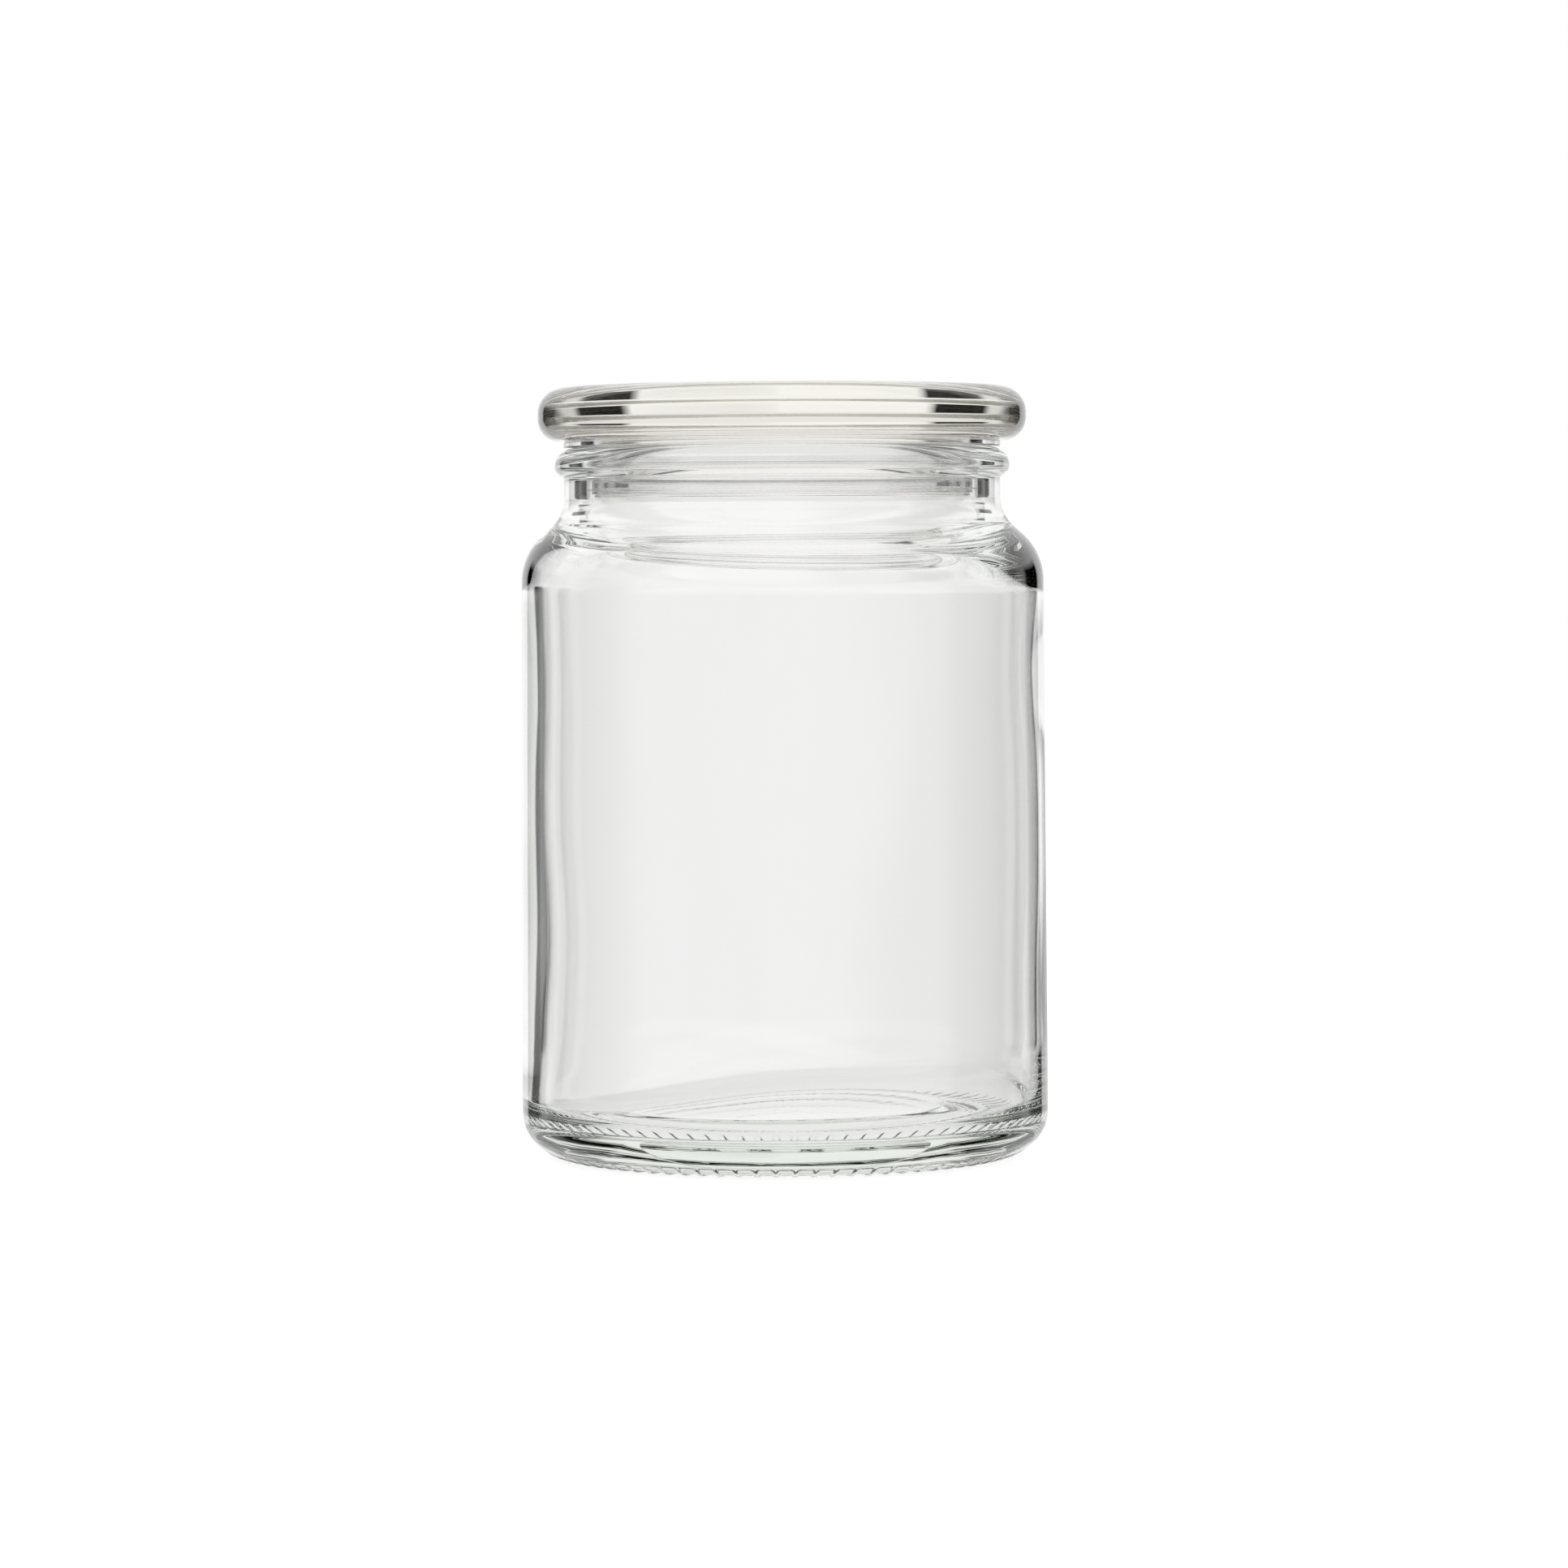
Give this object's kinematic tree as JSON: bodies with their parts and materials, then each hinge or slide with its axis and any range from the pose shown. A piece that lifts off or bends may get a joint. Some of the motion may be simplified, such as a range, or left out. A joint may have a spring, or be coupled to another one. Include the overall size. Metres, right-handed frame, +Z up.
{
  "type": "candle jar",
  "caption": "Empty clear glass candle jar with a straight body, narrow neck, knurled heel and a flat glass lid held by a clear flexible seal.",
  "frame": {"origin": "on the jar's axis, in the plane that it stands on", "axes": "+Z up along the axis from the base to the lid; the part looks the same all round"},
  "size_m": [0.1028, 0.1028, 0.1507],
  "materials": {
    "jar_glass": "clear pressed soda-lime glass, fire polished, faintly green where thick",
    "lid_glass": "clear pressed soda-lime glass, fire polished, thick",
    "seal_plastic": "clear flexible polyethylene, smooth moulded"
  },
  "bodies": {
    "jar": {"jar": "jar_glass"},
    "seal": {"seal": "seal_plastic"},
    "lid": {"lid": "lid_glass"}
  },
  "joints": [
    {"name": "lid_lift", "type": "slide", "parent": "jar", "child": "seal", "axis": [0, 0, 1], "range_m": [0, 0.06]},
    {"name": "lid_turn", "type": "hinge", "parent": "seal", "child": "lid", "pos_m": [0, 0, 0.139], "axis": [0, 0, 1], "continuous": true}
  ]
}
